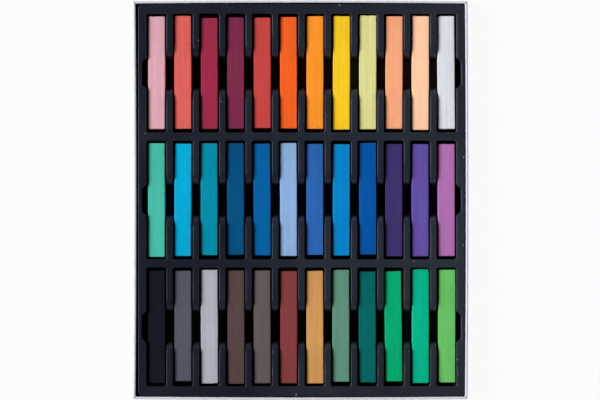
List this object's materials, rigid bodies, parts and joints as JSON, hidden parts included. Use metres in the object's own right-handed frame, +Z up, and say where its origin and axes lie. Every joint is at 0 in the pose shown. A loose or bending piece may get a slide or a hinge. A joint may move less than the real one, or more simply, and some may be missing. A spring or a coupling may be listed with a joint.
{
  "type": "pastel drawer box",
  "caption": "Shallow white carton tray with a black formed insert: rows of square soft pastel sticks lie in its wells, with a finger channel across each row.",
  "frame": {"origin": "under the middle of the carton, on the surface that it stands on", "axes": "+X runs across the columns to the right of the picture, +Y along the sticks to the top of the picture, +Z up"},
  "size_m": [0.1882, 0.2244, 0.0133],
  "materials": {
    "carton_board": "matte",
    "insert_plastic": "satin",
    "pastel_pale_pink": "matte",
    "pastel_salmon_pink": "matte",
    "pastel_carmine": "matte",
    "pastel_plum": "matte",
    "pastel_brick_red": "matte",
    "pastel_orange": "matte",
    "pastel_amber": "matte",
    "pastel_yellow": "matte",
    "pastel_pale_lime": "matte",
    "pastel_apricot": "matte",
    "pastel_peach": "matte",
    "pastel_white": "matte",
    "pastel_mint_green": "matte",
    "pastel_cyan": "matte",
    "pastel_teal": "matte",
    "pastel_prussian_blue": "matte",
    "pastel_azure_blue": "matte",
    "pastel_sky_blue": "matte",
    "pastel_cobalt_blue": "matte",
    "pastel_cerulean_blue": "matte",
    "pastel_royal_blue": "matte",
    "pastel_dark_violet": "matte",
    "pastel_violet": "matte",
    "pastel_orchid": "matte",
    "pastel_black": "matte",
    "pastel_slate_grey": "matte",
    "pastel_silver_grey": "matte",
    "pastel_umber": "matte",
    "pastel_taupe": "matte",
    "pastel_red_oxide": "matte",
    "pastel_ochre": "matte",
    "pastel_sage_green": "matte",
    "pastel_pine_green": "matte",
    "pastel_green": "matte",
    "pastel_emerald_green": "matte",
    "pastel_leaf_green": "matte"
  },
  "bodies": {
    "carton": {"carton_base": "carton_board", "carton_wall_left": "carton_board", "carton_wall_right": "carton_board", "carton_wall_upper": "carton_board", "carton_wall_lower": "carton_board"},
    "insert": {"insert_upper_1": "insert_plastic", "insert_upper_2": "insert_plastic", "insert_upper_3": "insert_plastic", "insert_upper_4": "insert_plastic", "insert_upper_5": "insert_plastic", "insert_upper_6": "insert_plastic", "insert_middle_1": "insert_plastic", "insert_middle_2": "insert_plastic", "insert_middle_3": "insert_plastic", "insert_middle_4": "insert_plastic", "insert_middle_5": "insert_plastic", "insert_middle_6": "insert_plastic", "insert_lower_1": "insert_plastic", "insert_lower_2": "insert_plastic", "insert_lower_3": "insert_plastic", "insert_lower_4": "insert_plastic", "insert_lower_5": "insert_plastic", "insert_lower_6": "insert_plastic"},
    "stick_pale_pink": {"stick_pale_pink": "pastel_pale_pink"},
    "stick_salmon_pink": {"stick_salmon_pink": "pastel_salmon_pink"},
    "stick_carmine": {"stick_carmine": "pastel_carmine"},
    "stick_plum": {"stick_plum": "pastel_plum"},
    "stick_brick_red": {"stick_brick_red": "pastel_brick_red"},
    "stick_orange": {"stick_orange": "pastel_orange"},
    "stick_amber": {"stick_amber": "pastel_amber"},
    "stick_yellow": {"stick_yellow": "pastel_yellow"},
    "stick_pale_lime": {"stick_pale_lime": "pastel_pale_lime"},
    "stick_apricot": {"stick_apricot": "pastel_apricot"},
    "stick_peach": {"stick_peach": "pastel_peach"},
    "stick_white": {"stick_white": "pastel_white"},
    "stick_mint_green": {"stick_mint_green": "pastel_mint_green"},
    "stick_cyan": {"stick_cyan": "pastel_cyan"},
    "stick_teal": {"stick_teal": "pastel_teal"},
    "stick_prussian_blue": {"stick_prussian_blue": "pastel_prussian_blue"},
    "stick_azure_blue": {"stick_azure_blue": "pastel_azure_blue"},
    "stick_sky_blue": {"stick_sky_blue": "pastel_sky_blue"},
    "stick_cobalt_blue": {"stick_cobalt_blue": "pastel_cobalt_blue"},
    "stick_cerulean_blue": {"stick_cerulean_blue": "pastel_cerulean_blue"},
    "stick_royal_blue": {"stick_royal_blue": "pastel_royal_blue"},
    "stick_dark_violet": {"stick_dark_violet": "pastel_dark_violet"},
    "stick_violet": {"stick_violet": "pastel_violet"},
    "stick_orchid": {"stick_orchid": "pastel_orchid"},
    "stick_black": {"stick_black": "pastel_black"},
    "stick_slate_grey": {"stick_slate_grey": "pastel_slate_grey"},
    "stick_silver_grey": {"stick_silver_grey": "pastel_silver_grey"},
    "stick_umber": {"stick_umber": "pastel_umber"},
    "stick_taupe": {"stick_taupe": "pastel_taupe"},
    "stick_red_oxide": {"stick_red_oxide": "pastel_red_oxide"},
    "stick_ochre": {"stick_ochre": "pastel_ochre"},
    "stick_sage_green": {"stick_sage_green": "pastel_sage_green"},
    "stick_pine_green": {"stick_pine_green": "pastel_pine_green"},
    "stick_green": {"stick_green": "pastel_green"},
    "stick_emerald_green": {"stick_emerald_green": "pastel_emerald_green"},
    "stick_leaf_green": {"stick_leaf_green": "pastel_leaf_green"}
  },
  "joints": [
    {"name": "insert_lift", "type": "slide", "parent": "carton", "child": "insert", "axis": [0, 0, 1], "range_m": [0, 0.018]},
    {"name": "pale_pink_lift", "type": "slide", "parent": "insert", "child": "stick_pale_pink", "axis": [0, 0, 1], "range_m": [0, 0.018]},
    {"name": "salmon_pink_lift", "type": "slide", "parent": "insert", "child": "stick_salmon_pink", "axis": [0, 0, 1], "range_m": [0, 0.018]},
    {"name": "carmine_lift", "type": "slide", "parent": "insert", "child": "stick_carmine", "axis": [0, 0, 1], "range_m": [0, 0.018]},
    {"name": "plum_lift", "type": "slide", "parent": "insert", "child": "stick_plum", "axis": [0, 0, 1], "range_m": [0, 0.018]},
    {"name": "brick_red_lift", "type": "slide", "parent": "insert", "child": "stick_brick_red", "axis": [0, 0, 1], "range_m": [0, 0.018]},
    {"name": "orange_lift", "type": "slide", "parent": "insert", "child": "stick_orange", "axis": [0, 0, 1], "range_m": [0, 0.018]},
    {"name": "amber_lift", "type": "slide", "parent": "insert", "child": "stick_amber", "axis": [0, 0, 1], "range_m": [0, 0.018]},
    {"name": "yellow_lift", "type": "slide", "parent": "insert", "child": "stick_yellow", "axis": [0, 0, 1], "range_m": [0, 0.018]},
    {"name": "pale_lime_lift", "type": "slide", "parent": "insert", "child": "stick_pale_lime", "axis": [0, 0, 1], "range_m": [0, 0.018]},
    {"name": "apricot_lift", "type": "slide", "parent": "insert", "child": "stick_apricot", "axis": [0, 0, 1], "range_m": [0, 0.018]},
    {"name": "peach_lift", "type": "slide", "parent": "insert", "child": "stick_peach", "axis": [0, 0, 1], "range_m": [0, 0.018]},
    {"name": "white_lift", "type": "slide", "parent": "insert", "child": "stick_white", "axis": [0, 0, 1], "range_m": [0, 0.018]},
    {"name": "mint_green_lift", "type": "slide", "parent": "insert", "child": "stick_mint_green", "axis": [0, 0, 1], "range_m": [0, 0.018]},
    {"name": "cyan_lift", "type": "slide", "parent": "insert", "child": "stick_cyan", "axis": [0, 0, 1], "range_m": [0, 0.018]},
    {"name": "teal_lift", "type": "slide", "parent": "insert", "child": "stick_teal", "axis": [0, 0, 1], "range_m": [0, 0.018]},
    {"name": "prussian_blue_lift", "type": "slide", "parent": "insert", "child": "stick_prussian_blue", "axis": [0, 0, 1], "range_m": [0, 0.018]},
    {"name": "azure_blue_lift", "type": "slide", "parent": "insert", "child": "stick_azure_blue", "axis": [0, 0, 1], "range_m": [0, 0.018]},
    {"name": "sky_blue_lift", "type": "slide", "parent": "insert", "child": "stick_sky_blue", "axis": [0, 0, 1], "range_m": [0, 0.018]},
    {"name": "cobalt_blue_lift", "type": "slide", "parent": "insert", "child": "stick_cobalt_blue", "axis": [0, 0, 1], "range_m": [0, 0.018]},
    {"name": "cerulean_blue_lift", "type": "slide", "parent": "insert", "child": "stick_cerulean_blue", "axis": [0, 0, 1], "range_m": [0, 0.018]},
    {"name": "royal_blue_lift", "type": "slide", "parent": "insert", "child": "stick_royal_blue", "axis": [0, 0, 1], "range_m": [0, 0.018]},
    {"name": "dark_violet_lift", "type": "slide", "parent": "insert", "child": "stick_dark_violet", "axis": [0, 0, 1], "range_m": [0, 0.018]},
    {"name": "violet_lift", "type": "slide", "parent": "insert", "child": "stick_violet", "axis": [0, 0, 1], "range_m": [0, 0.018]},
    {"name": "orchid_lift", "type": "slide", "parent": "insert", "child": "stick_orchid", "axis": [0, 0, 1], "range_m": [0, 0.018]},
    {"name": "black_lift", "type": "slide", "parent": "insert", "child": "stick_black", "axis": [0, 0, 1], "range_m": [0, 0.018]},
    {"name": "slate_grey_lift", "type": "slide", "parent": "insert", "child": "stick_slate_grey", "axis": [0, 0, 1], "range_m": [0, 0.018]},
    {"name": "silver_grey_lift", "type": "slide", "parent": "insert", "child": "stick_silver_grey", "axis": [0, 0, 1], "range_m": [0, 0.018]},
    {"name": "umber_lift", "type": "slide", "parent": "insert", "child": "stick_umber", "axis": [0, 0, 1], "range_m": [0, 0.018]},
    {"name": "taupe_lift", "type": "slide", "parent": "insert", "child": "stick_taupe", "axis": [0, 0, 1], "range_m": [0, 0.018]},
    {"name": "red_oxide_lift", "type": "slide", "parent": "insert", "child": "stick_red_oxide", "axis": [0, 0, 1], "range_m": [0, 0.018]},
    {"name": "ochre_lift", "type": "slide", "parent": "insert", "child": "stick_ochre", "axis": [0, 0, 1], "range_m": [0, 0.018]},
    {"name": "sage_green_lift", "type": "slide", "parent": "insert", "child": "stick_sage_green", "axis": [0, 0, 1], "range_m": [0, 0.018]},
    {"name": "pine_green_lift", "type": "slide", "parent": "insert", "child": "stick_pine_green", "axis": [0, 0, 1], "range_m": [0, 0.018]},
    {"name": "green_lift", "type": "slide", "parent": "insert", "child": "stick_green", "axis": [0, 0, 1], "range_m": [0, 0.018]},
    {"name": "emerald_green_lift", "type": "slide", "parent": "insert", "child": "stick_emerald_green", "axis": [0, 0, 1], "range_m": [0, 0.018]},
    {"name": "leaf_green_lift", "type": "slide", "parent": "insert", "child": "stick_leaf_green", "axis": [0, 0, 1], "range_m": [0, 0.018]}
  ]
}
